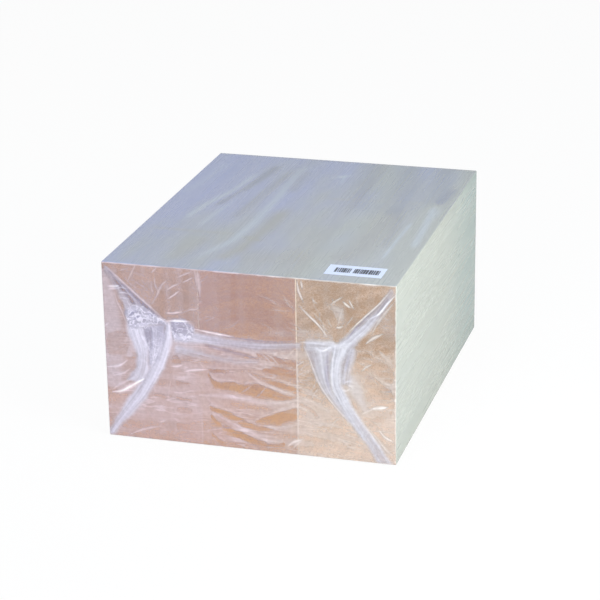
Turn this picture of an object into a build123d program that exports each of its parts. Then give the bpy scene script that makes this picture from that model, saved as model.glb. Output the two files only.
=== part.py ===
from build123d import *

import os
from math import pi, sin, sqrt

# Balsa block: three boards side by side, held together by shrunk clear film, with a paper label on top.
# Millimetres, +Z up. The origin is the middle of the underside. X runs across the boards, Y along the grain.

# Boards
board_names = ("left_board", "middle_board", "right_board")
board_width = 80.0
board_height = 150.0
board_length = 305.0
board_ease = 0.5  # bevel on every board edge

# Film
film_thickness = 0.1
pleat_half_width = 5.0
pleat_height = 2.2
crease_half_width = 2.6
crease_height = 1.1
ripple_half_width = 3.6
ripple_height = 0.5
seam_half_width = 1.3
seam_height = 1.6
fold_steps = 8  # straight facets along each fold

# Label
label_width = 46.0
label_depth = 22.0
label_thickness = 0.1
label_end_gap = 14.0  # from the front end of the boards
label_side_gap = 15.5  # from the right side of the boards

# Folds of the film over one end, seen from outside. Each row is the crest of one fold: points in shares of
# the end's width, from its left edge, and of its height, from its bottom edge.
pleat_path_shares = (
    # left gather: corner to knot
    ((0.013, 0.980), (0.060, 0.905), (0.125, 0.800), (0.196, 0.715), (0.258, 0.690), (0.312, 0.668)),
    # left gather: outer, inner and middle legs
    (
        (0.030, 0.915), (0.063, 0.795), (0.095, 0.660), (0.122, 0.545),
        (0.136, 0.445), (0.116, 0.320), (0.070, 0.180), (0.015, 0.022),
    ),
    (
        (0.240, 0.690), (0.234, 0.570), (0.208, 0.450), (0.166, 0.330),
        (0.124, 0.225), (0.072, 0.115), (0.022, 0.018),
    ),
    ((0.135, 0.665), (0.166, 0.560), (0.174, 0.465), (0.150, 0.365), (0.112, 0.265)),
    # right gather: corner to knot
    ((0.988, 0.972), (0.933, 0.862), (0.883, 0.757), (0.832, 0.662), (0.795, 0.622)),
    # right gather: outer leg and the body of the flap
    (
        (0.822, 0.660), (0.794, 0.560), (0.788, 0.455), (0.810, 0.350),
        (0.867, 0.240), (0.925, 0.120), (0.980, 0.022),
    ),
    ((0.725, 0.640), (0.752, 0.545), (0.775, 0.430), (0.797, 0.345)),
)
crease_path_shares = (
    # left knot
    ((0.085, 0.740), (0.146, 0.715), (0.205, 0.690)),
    ((0.165, 0.755), (0.207, 0.660), (0.217, 0.580)),
    ((0.100, 0.690), (0.158, 0.612), (0.190, 0.530)),
    ((0.245, 0.610), (0.288, 0.650), (0.318, 0.668)),
    # tongue beside the left gather
    ((0.130, 0.330), (0.084, 0.287), (0.020, 0.252)),
    # right gather: second corner fold, free edges of the flap, inner leg
    ((0.990, 0.935), (0.950, 0.840), (0.897, 0.745), (0.845, 0.655)),
    ((0.688, 0.655), (0.716, 0.520), (0.750, 0.385), (0.792, 0.280), (0.862, 0.170)),
    ((0.686, 0.646), (0.750, 0.652), (0.812, 0.642)),
    ((0.856, 0.635), (0.833, 0.535), (0.826, 0.415), (0.850, 0.305)),
)
ripple_path_shares = (
    # under the seam
    ((0.335, 0.600), (0.450, 0.585), (0.570, 0.580), (0.690, 0.590)),
    ((0.335, 0.520), (0.430, 0.512), (0.530, 0.508)),
    # across the middle board
    ((0.345, 0.440), (0.430, 0.455), (0.520, 0.435)),
    ((0.505, 0.440), (0.585, 0.400), (0.665, 0.350)),
    ((0.345, 0.310), (0.450, 0.285), (0.560, 0.282), (0.672, 0.305)),
    ((0.490, 0.205), (0.580, 0.245), (0.662, 0.285)),
    ((0.350, 0.195), (0.440, 0.150), (0.540, 0.108), (0.662, 0.085)),
    ((0.360, 0.115), (0.440, 0.060), (0.520, 0.024)),
    # across the left board
    ((0.180, 0.400), (0.260, 0.385), (0.335, 0.382)),
    ((0.175, 0.322), (0.255, 0.312), (0.335, 0.315)),
    ((0.160, 0.228), (0.250, 0.220), (0.335, 0.222)),
    ((0.150, 0.140), (0.250, 0.130), (0.335, 0.110)),
    # across the right board
    ((0.675, 0.420), (0.720, 0.375), (0.768, 0.305)),
    ((0.680, 0.310), (0.735, 0.270), (0.800, 0.220)),
    ((0.680, 0.150), (0.780, 0.128), (0.880, 0.090)),
    ((0.880, 0.420), (0.930, 0.470), (0.985, 0.500)),
)
seam_path_shares = ((0.310, 0.668), (0.385, 0.648), (0.480, 0.634), (0.585, 0.634), (0.692, 0.650))

# Worked out from the sizes above
boards_width = len(board_names) * board_width
pack_width = boards_width + 2 * film_thickness
pack_length = board_length + 2 * film_thickness
pack_height = board_height + 2 * film_thickness
fold_root_depth = film_thickness / 2  # folds stand in the film, half its thickness deep
on_base = (Align.CENTER, Align.CENTER, Align.MIN)


def boards():
    """The boards, edge to edge from left to right, with every edge eased."""
    made = {}
    for place, name in enumerate(board_names):
        middle = (place + 0.5) * board_width - boards_width / 2
        blank = Pos(middle, 0, film_thickness) * Box(board_width, board_length, board_height, align=on_base)
        made[name] = chamfer(blank.edges(), board_ease)
    return made


def fold_root(point_share):
    """The point of a fold's root, inside the film over the front end."""
    across_share, up_share = point_share
    across = (across_share - 0.5) * pack_width
    return Vector(across, fold_root_depth - pack_length / 2, up_share * pack_height)


def fold(path_shares, half_width, height):
    """A ridge of film on the front end, pointed at both ends, with its crest along a smooth path."""
    path = Spline(*[fold_root(point_share) for point_share in path_shares])
    outward = Vector(0, -1, 0)
    left, crest, right = [], [], []
    for step in range(1, fold_steps):
        along_share = step / fold_steps
        swell_share = sqrt(sin(pi * along_share))
        root = path.position_at(along_share)
        side = path.tangent_at(along_share).cross(outward) * half_width * swell_share
        left.append(root + side)
        right.append(root - side)
        crest.append(root + outward * (height * swell_share + fold_root_depth))
    first, last = path.position_at(0), path.position_at(1)
    faces = [Face(Wire.make_polygon([first, *left, last, *reversed(right)]))]
    for edge in (left, right):
        faces.append(Face(Wire.make_polygon([first, edge[0], crest[0]])))
        for here in range(len(edge) - 1):
            after = here + 1
            faces.append(Face(Wire.make_polygon([edge[here], edge[after], crest[after]])))
            faces.append(Face(Wire.make_polygon([edge[here], crest[after], crest[here]])))
        faces.append(Face(Wire.make_polygon([edge[-1], last, crest[-1]])))
    return Solid(Shell(faces))


def film():
    """The film: a thin skin all round the boards, with the same folds gathered over both ends."""
    folds = [fold(seam_path_shares, seam_half_width, seam_height)]
    folds += [fold(path, pleat_half_width, pleat_height) for path in pleat_path_shares]
    folds += [fold(path, crease_half_width, crease_height) for path in crease_path_shares]
    folds += [fold(path, ripple_half_width, ripple_height) for path in ripple_path_shares]
    outside = Box(pack_width, pack_length, pack_height, align=on_base)
    outside = chamfer(outside.edges(), board_ease)
    inside = Pos(0, 0, film_thickness) * Box(boards_width, board_length, board_height, align=on_base)
    inside = chamfer(inside.edges(), board_ease)
    return outside + folds + [Rot(0, 0, 180) * each for each in folds] - inside


def label():
    """The paper label, stuck to the film on top near the front right corner."""
    across = boards_width / 2 - label_side_gap - label_width / 2
    along = label_end_gap + label_depth / 2 - board_length / 2
    return Pos(across, along, pack_height) * Box(label_width, label_depth, label_thickness, align=on_base)


pieces = {**boards(), "shrink_film": film(), "label": label()}
os.makedirs("parts", exist_ok=True)
for node, shape in pieces.items():
    export_step(shape, f"parts/{node}.step")
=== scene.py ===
import math

import bpy
import numpy as np
from mathutils import Matrix, Vector


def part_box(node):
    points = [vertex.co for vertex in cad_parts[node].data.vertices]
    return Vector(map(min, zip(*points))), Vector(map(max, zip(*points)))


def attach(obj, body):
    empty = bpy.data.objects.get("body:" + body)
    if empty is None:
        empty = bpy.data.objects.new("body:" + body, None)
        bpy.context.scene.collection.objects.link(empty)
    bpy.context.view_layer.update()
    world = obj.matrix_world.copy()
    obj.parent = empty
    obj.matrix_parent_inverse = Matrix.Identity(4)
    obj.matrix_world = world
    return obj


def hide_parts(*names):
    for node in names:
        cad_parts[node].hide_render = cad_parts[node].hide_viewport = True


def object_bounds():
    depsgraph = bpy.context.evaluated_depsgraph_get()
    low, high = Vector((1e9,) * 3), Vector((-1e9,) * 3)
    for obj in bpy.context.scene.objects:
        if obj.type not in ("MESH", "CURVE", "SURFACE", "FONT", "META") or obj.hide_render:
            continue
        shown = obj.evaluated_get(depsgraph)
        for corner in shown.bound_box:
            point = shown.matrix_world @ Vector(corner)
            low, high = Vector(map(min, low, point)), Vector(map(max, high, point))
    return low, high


# The looks of the balsa block: bare wood, shrunk film with its gathers and ripples, and a paper label.
# Metres, +Z up. The points in the tables of shares are in thousandths. On an end of the block they are shares
# of its width, from the left, and of its height, and on top of its width and of its length, from the front.

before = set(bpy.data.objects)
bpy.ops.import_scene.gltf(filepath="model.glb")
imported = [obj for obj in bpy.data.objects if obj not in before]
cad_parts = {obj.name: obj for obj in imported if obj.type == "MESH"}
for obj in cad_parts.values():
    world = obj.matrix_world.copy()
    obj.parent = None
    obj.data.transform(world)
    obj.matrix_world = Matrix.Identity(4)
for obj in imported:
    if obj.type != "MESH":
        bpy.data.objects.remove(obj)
cad_low, cad_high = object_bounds()
mm = 0.001
share_unit = 1000

# Sizes from the frame
film_low, film_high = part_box("shrink_film")
boards_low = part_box("left_board")[0]
boards_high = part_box("right_board")[1]
label_low, label_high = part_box("label")
film_gap = boards_low.x - film_low.x
pack_width = film_high.x - film_low.x
pack_height = film_high.z - film_low.z
pack_length = boards_high.y - boards_low.y + 2 * film_gap
joint_places = (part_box("left_board")[1].x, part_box("middle_board")[1].x)

# Camera, from the photo's perspective
camera_place = (0.46864, -1.60051, 0.70435)
camera_aim = (-0.00131, 0.0, 0.07194)
camera_roll_deg = -0.93
camera_lens = 125.27
camera_sensor = 36.0


def srgb(red, green, blue):
    """A colour in screen values from 0 to 255, as the linear colour that a shader takes."""
    shares = np.array((red, green, blue)) / 255
    linear = np.where(shares <= 0.04045, shares / 12.92, ((shares + 0.055) / 1.055) ** 2.4)
    return (*(float(x) for x in linear), 1.0)


class Paint:
    """One material, or a world, and short calls for the nodes that make it."""

    def __init__(self, name, kind="materials", shader="Principled BSDF"):
        self.owner = getattr(bpy.data, kind).new(name)
        self.owner.use_nodes = True
        self.tree = self.owner.node_tree
        self.shader = self.tree.nodes[shader]

    def feed(self, socket, value):
        if isinstance(value, bpy.types.NodeSocket):
            self.tree.links.new(value, socket)
        else:
            socket.default_value = value

    def node(self, kind, values=(), **settings):
        """A new node with its settings and its first inputs."""
        made = self.tree.nodes.new(kind)
        for name, value in settings.items():
            setattr(made, name, value)
        for socket, value in zip(made.inputs, values):
            self.feed(socket, value)
        return made

    def math(self, operation, *values, clamp=False):
        return self.node("ShaderNodeMath", values, operation=operation, use_clamp=clamp).outputs[0]

    def times(self, first, second):
        return self.math("MULTIPLY", first, second)

    def less(self, first, second):
        return self.math("SUBTRACT", first, second)

    def add(self, base, value, factor, clamp=False):
        """A base plus a value times a factor."""
        return self.math("MULTIPLY_ADD", value, factor, base, clamp=clamp)

    def vector(self, operation, *values):
        made = self.node("ShaderNodeVectorMath", values, operation=operation)
        return made.outputs["Value" if operation == "LENGTH" else "Vector"]

    def join(self, x, y, z):
        return self.node("ShaderNodeCombineXYZ", (x, y, z)).outputs[0]

    def split(self, vector):
        return list(self.node("ShaderNodeSeparateXYZ", (vector,)).outputs)

    def ramp(self, value, low, high, to_low=0.0, to_high=1.0):
        values = value, low, high, to_low, to_high
        return self.node("ShaderNodeMapRange", values, interpolation_type="SMOOTHSTEP").outputs[0]

    def mix(self, share, first, second):
        made = self.node("ShaderNodeMix", data_type="RGBA")
        self.feed(made.inputs["Factor"], share)
        self.feed(made.inputs[6], first)
        self.feed(made.inputs[7], second)
        return made.outputs[2]

    def texture(self, kind, where, scales, **inputs):
        """A texture node, with its scales in steps to the metre."""
        made = self.node(kind)
        inputs.update(Vector=self.vector("MULTIPLY", where, scales), Scale=1.0)
        for name, value in inputs.items():
            self.feed(made.inputs[name], value)
        return made

    def noise(self, where, scales, detail=2.0, distortion=0.0):
        made = self.texture("ShaderNodeTexNoise", where, scales, Detail=detail, Distortion=distortion)
        return made.outputs["Fac"]

    def cells(self, where, scales):
        return self.texture("ShaderNodeTexVoronoi", where, scales).outputs["Distance"]

    def attribute(self, name, output="Fac"):
        return self.node("ShaderNodeAttribute", attribute_name=name).outputs[output]

    def place(self, output="Object"):
        return self.node("ShaderNodeTexCoord").outputs[output]

    def bump(self, height, distance, strength):
        made = self.node("ShaderNodeBump")
        for name, value in (("Height", height), ("Distance", distance), ("Strength", strength)):
            self.feed(made.inputs[name], value)
        self.tree.links.new(made.outputs[0], self.shader.inputs["Normal"])

    def finish(self, **inputs):
        for name, value in inputs.items():
            self.feed(self.shader.inputs[name.replace("_", " ")], value)
        return self.owner


# Wood
ring_step = 8.0 * mm
ring_wobble = 16.0 * mm
pore_step = 1.6 * mm
joint_line_half = 0.4 * mm
joint_line_colour = srgb(252, 238, 220)
joint_line_shares = (0.30, 0.85)
side_grain_depth = 0.01 * mm
end_grain_depth = 0.06 * mm
middle_tone_share = 0.45
balsa_looks = {
    # node: end grain pale and dark, the height over which it darkens and its first and last tone, how strong
    # its pores are, side grain pale and dark, and the heart of the rings (across and up, in mm)
    "left_board": (
        srgb(200, 163, 143), srgb(160, 132, 121), (140 * mm, 0.12, 0.75), 1.2,
        srgb(206, 201, 190), srgb(197, 191, 179), (-92, -40),
    ),
    "middle_board": (
        srgb(197, 157, 123), srgb(161, 127, 120), (140 * mm, 0.12, 0.84), 1.4,
        srgb(205, 201, 191), srgb(196, 191, 180), (4, 50),
    ),
    "right_board": (
        srgb(222, 198, 180), srgb(160, 131, 106), (118 * mm, 0.00, 0.85), 0.7,
        srgb(210, 208, 198), srgb(202, 199, 188), (150, -30),
    ),
}


def balsa(name, end_pale, end_dark, tones, grain, side_pale, side_dark, heart):
    """Bare balsa: rings, rays and pores on the sawn ends, long streaks and pore dashes on the other faces."""
    paint = Paint(name)
    place = paint.place()
    across, up = paint.split(place)[::2]
    heart_x, heart_z = (value * mm for value in heart)
    from_x, from_z = paint.less(across, heart_x), paint.less(up, heart_z)
    wobble = paint.times(paint.noise(place, (14, 2, 14)), ring_wobble)
    radius = paint.math("ADD", paint.vector("LENGTH", paint.join(from_x, 0.0, from_z)), wobble)
    turn = paint.math("ARCTAN2", from_z, from_x)
    ring = paint.noise(paint.join(radius, 0.0, 0.0), (1 / ring_step, 1, 1))
    dots = paint.noise(paint.join(turn, radius, 0.0), (100, 1 / pore_step, 1), 1)
    pores = paint.ramp(paint.cells(place, (1 / pore_step, 60, 1 / pore_step)), 0.12, 0.5, 1.0, 0.0)
    mottle = paint.noise(place, (30, 4, 30), 3)
    end_tone = paint.ramp(up, 0.0, *tones)
    for detail, strength in ((ring, 1.1), (mottle, 1.0), (dots, 0.95 * grain), (pores, 0.4 * grain)):
        end_tone = paint.add(end_tone, paint.less(detail, middle_tone_share), strength)
    end_tone = paint.math("MAXIMUM", end_tone, 0.0, clamp=True)
    end_colour = paint.mix(end_tone, end_pale, end_dark)
    for joint, strength in zip(joint_places, joint_line_shares):
        away = paint.math("ABSOLUTE", paint.less(across, joint))
        on_joint = paint.ramp(away, 0.6 * joint_line_half, 1.3 * joint_line_half, strength, 0.0)
        end_colour = paint.mix(on_joint, end_colour, joint_line_colour)

    bands = paint.noise(place, (34, 1.2, 34))
    streaks = paint.noise(place, (260, 3, 260))
    dashes = paint.ramp(paint.noise(place, (900, 40, 900), 1), 0.58, 0.74)
    side_tone = paint.add(paint.times(streaks, 0.16), paint.ramp(bands, 0.3, 0.7), 0.7)
    side_tone = paint.add(side_tone, dashes, 0.04, clamp=True)
    side_colour = paint.mix(side_tone, side_pale, side_dark)

    facing = paint.math("ABSOLUTE", paint.split(paint.place("Normal"))[1])
    on_end = paint.ramp(facing, 0.55, 0.75)
    height = paint.mix(on_end, streaks, paint.less(dots, pores))
    paint.bump(height, paint.ramp(facing, 0.55, 0.75, side_grain_depth, end_grain_depth), 0.5)
    return paint.finish(
        Base_Color=paint.mix(on_end, side_colour, end_colour),
        Roughness=paint.ramp(streaks, 0.2, 0.8, 0.72, 0.9),
        Specular_IOR_Level=0.25,
    )


for board, look in balsa_looks.items():
    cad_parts[board].data.materials.clear()
    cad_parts[board].data.materials.append(balsa(board + "_balsa", *look))

# Right gather: the free edge of its flap
flap_edge_shares = (
    (689, 637), (705, 578), (721, 508), (738, 437), (761, 373),
    (788, 315), (821, 258), (851, 206), (868, 175),
)

# Film over an end. Each gather lies between two edges. After them come its shares of white and its shares of
# blue-grey shade, from where it starts to where it stops, the number of pleats across it, how far it stands
# out in millimetres, and how knotted its threads are.
gather_shares = (
    # bands under the seam
    (((285, 655), (330, 648), (384, 641), (482, 634), (579, 637), (690, 650)),
     ((270, 590), (313, 586), (358, 583), (432, 581), (505, 575), (690, 605)),
     (0.75, 0.57), (0.24, 0.24), 3, 0.5, 0.0),
    (((240, 560), (322, 550), (381, 531), (455, 522), (545, 524)),
     ((240, 510), (321, 500), (381, 492), (455, 489), (545, 505)),
     (0.58, 0.48), (0.08, 0.08), 2, 0.4, 0.0),
    # left: pleat from the corner to the knot
    (((2, 997), (43, 939), (101, 857), (154, 784), (210, 705)),
     ((4, 974), (32, 912), (56, 851), (76, 785), (85, 700)),
     (0.22, 0.52), (1.20, 0.60), 4, 0.9, 0.2),
    (((6, 985), (45, 905), (76, 842), (98, 785), (110, 740)),
     ((4, 960), (30, 896), (52, 836), (68, 780), (78, 730)),
     (0.50, 0.70), (0.30, 0.30), 2, 0.9, 0.2),
    # left: outer leg
    (((86, 680), (87, 613), (97, 563), (109, 513), (112, 468), (107, 421), (87, 371), (61, 326)),
     ((128, 680), (144, 616), (152, 565), (155, 520), (154, 468), (150, 415), (140, 362), (125, 319)),
     (0.94, 0.78), (0.10, 0.08), 4, 0.9, 0.0),
    # left: inner leg, down to the bottom corner
    (((220, 701), (211, 638), (196, 578), (184, 525), (170, 471), (152, 417),
      (130, 355), (105, 293), (76, 229), (49, 160), (22, 96), (-12, 0)),
     ((238, 704), (237, 636), (235, 573), (230, 521), (218, 467), (203, 413),
      (184, 358), (162, 296), (139, 234), (101, 165), (62, 94), (6, -12)),
     (0.92, 0.76), (0.15, 0.10), 4, 0.9, 0.0),
    # left: streaked web between the legs
    (((128, 670), (141, 616), (147, 565), (150, 520), (153, 469), (153, 416)),
     ((220, 690), (214, 638), (206, 578), (194, 525), (180, 471), (163, 418)),
     (0.82, 0.84), (0.55, 0.45), 6, 0.7, 0.35),
    # left: knots
    (((66, 724), (88, 755), (124, 772), (158, 749), (199, 715), (227, 702)),
     ((81, 650), (109, 636), (145, 650), (180, 664), (212, 668), (233, 664)),
     (0.84, 0.88), (0.35, 0.30), 3, 1.0, 1.0),
    (((227, 708), (255, 708), (286, 709), (307, 692), (325, 664)),
     ((236, 640), (249, 586), (275, 580), (298, 602), (322, 640)),
     (0.82, 0.74), (0.60, 0.40), 2, 0.5, 0.8),
    # right: flap and its upper hem
    (flap_edge_shares,
     ((790, 647), (786, 585), (782, 528), (781, 472), (784, 416), (794, 372),
      (820, 314), (850, 257), (876, 193)),
     (0.66, 0.58), (0.22, 0.10), 4, 0.5, 0.0),
    (((686, 654), (719, 665), (753, 664), (783, 663), (806, 661)),
     ((690, 604), (719, 609), (749, 613), (779, 618), (806, 611)),
     (0.62, 0.86), (0.15, 0.05), 2, 0.5, 0.2),
    # right: streaks beside the leg
    (((832, 660), (816, 581), (808, 524), (806, 467), (812, 420)),
     ((868, 650), (858, 563), (852, 506), (848, 455), (846, 415)),
     (0.78, 0.46), (0.25, 0.05), 5, 0.5, 0.2),
    # right: pleat from the corner into the leg
    (((992, 996), (953, 914), (910, 831), (867, 754), (830, 698), (800, 655), (789, 608)),
     ((1000, 965), (972, 884), (943, 809), (910, 738), (876, 683), (846, 623), (826, 570)),
     (0.48, 0.90), (0.45, 0.15), 5, 0.9, 0.0),
    # right: leg, down to the bottom corner
    (((785, 655), (783, 585), (779, 528), (778, 472), (781, 416), (791, 372),
      (803, 325), (821, 278), (842, 225), (871, 162), (901, 93), (938, -12)),
     ((850, 665), (829, 592), (819, 535), (816, 478), (819, 428), (832, 385),
      (848, 338), (866, 291), (886, 239), (912, 176), (945, 107), (995, -12)),
     (0.88, 0.70), (0.10, 0.12), 5, 0.7, 0.15),
)

# Soft milky patches between two edges, and their share of white.
milky_patch_shares = (
    (((671, 713), (709, 722), (747, 721), (788, 710)),
     ((670, 657), (708, 663), (746, 667), (788, 667)), 0.36),
    (((759, 872), (781, 843), (799, 805), (824, 760)),
     ((762, 880), (791, 874), (823, 858), (832, 772)), 0.50),
    (((1000, 479), (962, 445), (921, 381), (887, 326)),
     ((1000, 423), (971, 397), (933, 334), (904, 294)), 0.36),
    (((822, 468), (832, 402), (855, 350), (882, 298)),
     ((862, 491), (886, 439), (899, 368), (905, 289)), 0.66),
    (((965, 900), (985, 840), (1000, 780)), ((935, 780), (955, 730), (985, 690)), 0.28),
    (((540, 664), (578, 664), (620, 668), (664, 676)),
     ((540, 674), (578, 694), (620, 702), (664, 690)), 0.46),
    (((170, 905), (200, 900), (235, 905)),
     ((170, 880), (200, 872), (235, 880)), 0.36),
    (((-20, 980), (-20, 800), (-20, 640), (-20, 300)),
     ((30, 920), (56, 780), (70, 660), (60, 300)), 0.58),
    (((72, 692), (70, 612), (68, 537), (64, 473)),
     ((93, 671), (97, 592), (105, 529), (107, 478)), 0.62),
    (((236, 586), (238, 537), (226, 482)),
     ((330, 600), (310, 540), (262, 490)), 0.62),
    (((335, 730), (400, 722), (450, 735), (500, 760)),
     ((335, 700), (400, 690), (450, 705), (500, 745)), 0.24),
)

# Leaf-shaped patches where the film lies on the wood: the upper edge, the lower edge and how clear they are.
clear_leaf_shares = (
    # middle board
    (((360, 422), (376, 388), (403, 378), (443, 382), (478, 373), (505, 387)),
     ((366, 390), (378, 347), (400, 333), (432, 339), (462, 332), (497, 364)), 1.0),
    (((487, 371), (527, 385), (561, 375), (595, 354), (629, 337), (666, 334)),
     ((462, 322), (491, 314), (536, 303), (585, 304), (634, 315), (666, 327)), 1.0),
    (((509, 446), (543, 435), (577, 420), (620, 403), (680, 377)),
     ((513, 426), (547, 412), (586, 389), (625, 371), (680, 352)), 1.0),
    (((558, 485), (597, 493), (636, 489), (670, 485), (709, 474)),
     ((550, 461), (587, 449), (626, 439), (667, 434), (704, 453)), 1.0),
    (((355, 447), (385, 446), (434, 447)), ((362, 437), (389, 430), (434, 437)), 0.9),
    (((362, 236), (390, 224), (430, 208), (465, 186), (499, 159), (533, 145), (585, 139)),
     ((364, 212), (400, 185), (439, 155), (474, 131), (508, 119), (543, 118), (578, 129)), 1.0),
    (((518, 168), (554, 200), (594, 231), (633, 256), (665, 270), (697, 253)),
     ((521, 161), (563, 162), (598, 164), (632, 179), (665, 201), (694, 232)), 1.0),
    (((365, 187), (389, 149), (424, 122), (463, 102), (498, 84), (537, 61), (582, 52), (619, 64)),
     ((369, 158), (398, 104), (433, 77), (472, 51), (512, 33), (556, 24), (596, 26), (621, 42)), 1.0),
    (((366, 74), (387, 52), (409, 28)), ((368, 59), (384, 35), (403, 19)), 0.8),
    (((353, 588), (397, 578), (446, 568), (490, 556), (537, 536)),
     ((353, 574), (397, 552), (446, 542), (490, 530), (537, 522)), 0.8),
    (((530, 566), (576, 560), (620, 548), (690, 530)),
     ((535, 540), (576, 520), (620, 508), (690, 500)), 0.7),
    # left board
    (((237, 500), (252, 507), (266, 481)), ((234, 467), (248, 453), (266, 460)), 0.6),
    (((168, 272), (196, 274), (231, 269)), ((170, 254), (195, 250), (231, 253)), 0.45),
    (((245, 269), (271, 265), (300, 260)), ((247, 242), (271, 228), (297, 229)), 0.45),
    (((247, 207), (270, 208), (300, 205)), ((247, 184), (269, 173), (297, 174)), 0.45),
    (((244, 112), (268, 114), (292, 107)), ((245, 71), (267, 55), (287, 69)), 0.40),
    (((246, 360), (269, 358), (295, 356)), ((247, 340), (268, 335), (293, 338)), 0.5),
    (((13, 601), (49, 614), (86, 612)), ((11, 477), (44, 474), (75, 487)), 0.4),
    # right board
    (((872, 613), (899, 625), (922, 605)), ((872, 533), (898, 521), (922, 553)), 0.9),
    (((918, 667), (946, 672), (974, 664)), ((922, 636), (946, 620), (970, 612)), 0.7),
    (((668, 432), (693, 424), (726, 395)), ((668, 408), (690, 390), (722, 370)), 0.7),
    (((905, 500), (945, 465), (985, 415)), ((900, 420), (935, 345), (985, 290)), 0.8),
    (((925, 600), (955, 575), (985, 540)), ((915, 530), (950, 490), (985, 450)), 0.6),
    (((672, 306), (709, 285), (742, 232)), ((672, 286), (705, 262), (738, 224)), 0.5),
)

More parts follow.
